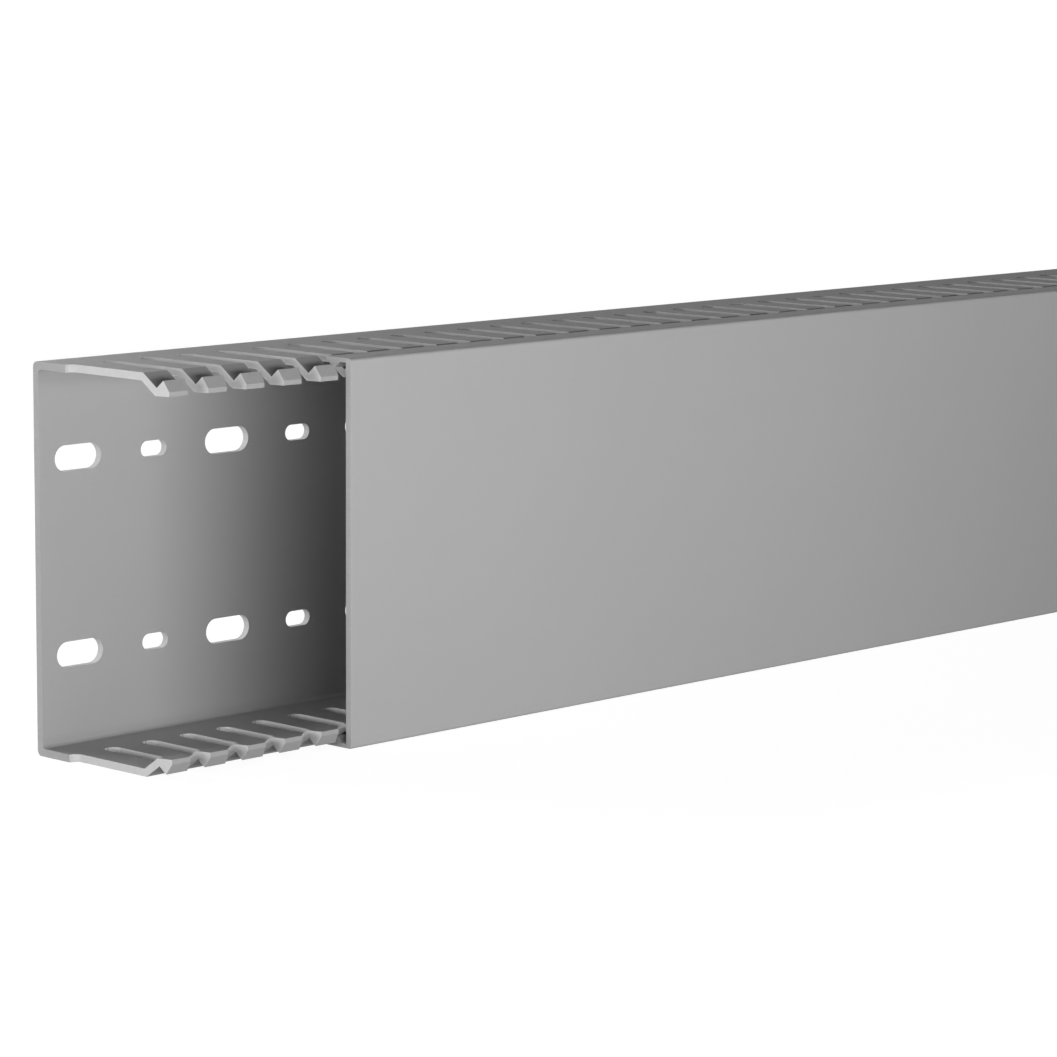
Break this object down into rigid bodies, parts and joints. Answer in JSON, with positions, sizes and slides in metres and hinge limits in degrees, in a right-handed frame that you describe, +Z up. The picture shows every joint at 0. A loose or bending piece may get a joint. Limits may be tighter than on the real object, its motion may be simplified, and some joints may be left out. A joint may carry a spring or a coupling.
{
  "type": "slotted wire duct",
  "caption": "Straight open-slot wiring duct of rectangular section with comb-like side walls, a perforated back for fixing, and a flat clip-on cover.",
  "frame": {"origin": "bottom centre of the whole, on the floor that the duct's lower side wall stands on", "axes": "+X along the duct, towards the end that the cover overhangs; +Y out of the back wall, towards the panel that the duct is screwed to; +Z up, across the duct's width"},
  "size_m": [1.0614, 0.05, 0.1],
  "materials": {
    "duct_plastic": "matt grey rigid PVC with fine extrusion lines, stamped slits and holes",
    "cover_plastic": "matt grey rigid PVC, smooth flat face"
  },
  "bodies": {
    "base": {"slotted_base": "duct_plastic"},
    "cover": {"snap_cover": "cover_plastic"}
  },
  "joints": [
    {"name": "cover_slide", "type": "slide", "parent": "base", "child": "cover", "axis": [1, 0, 0], "range_m": [-0.0615, 0.9]}
  ]
}
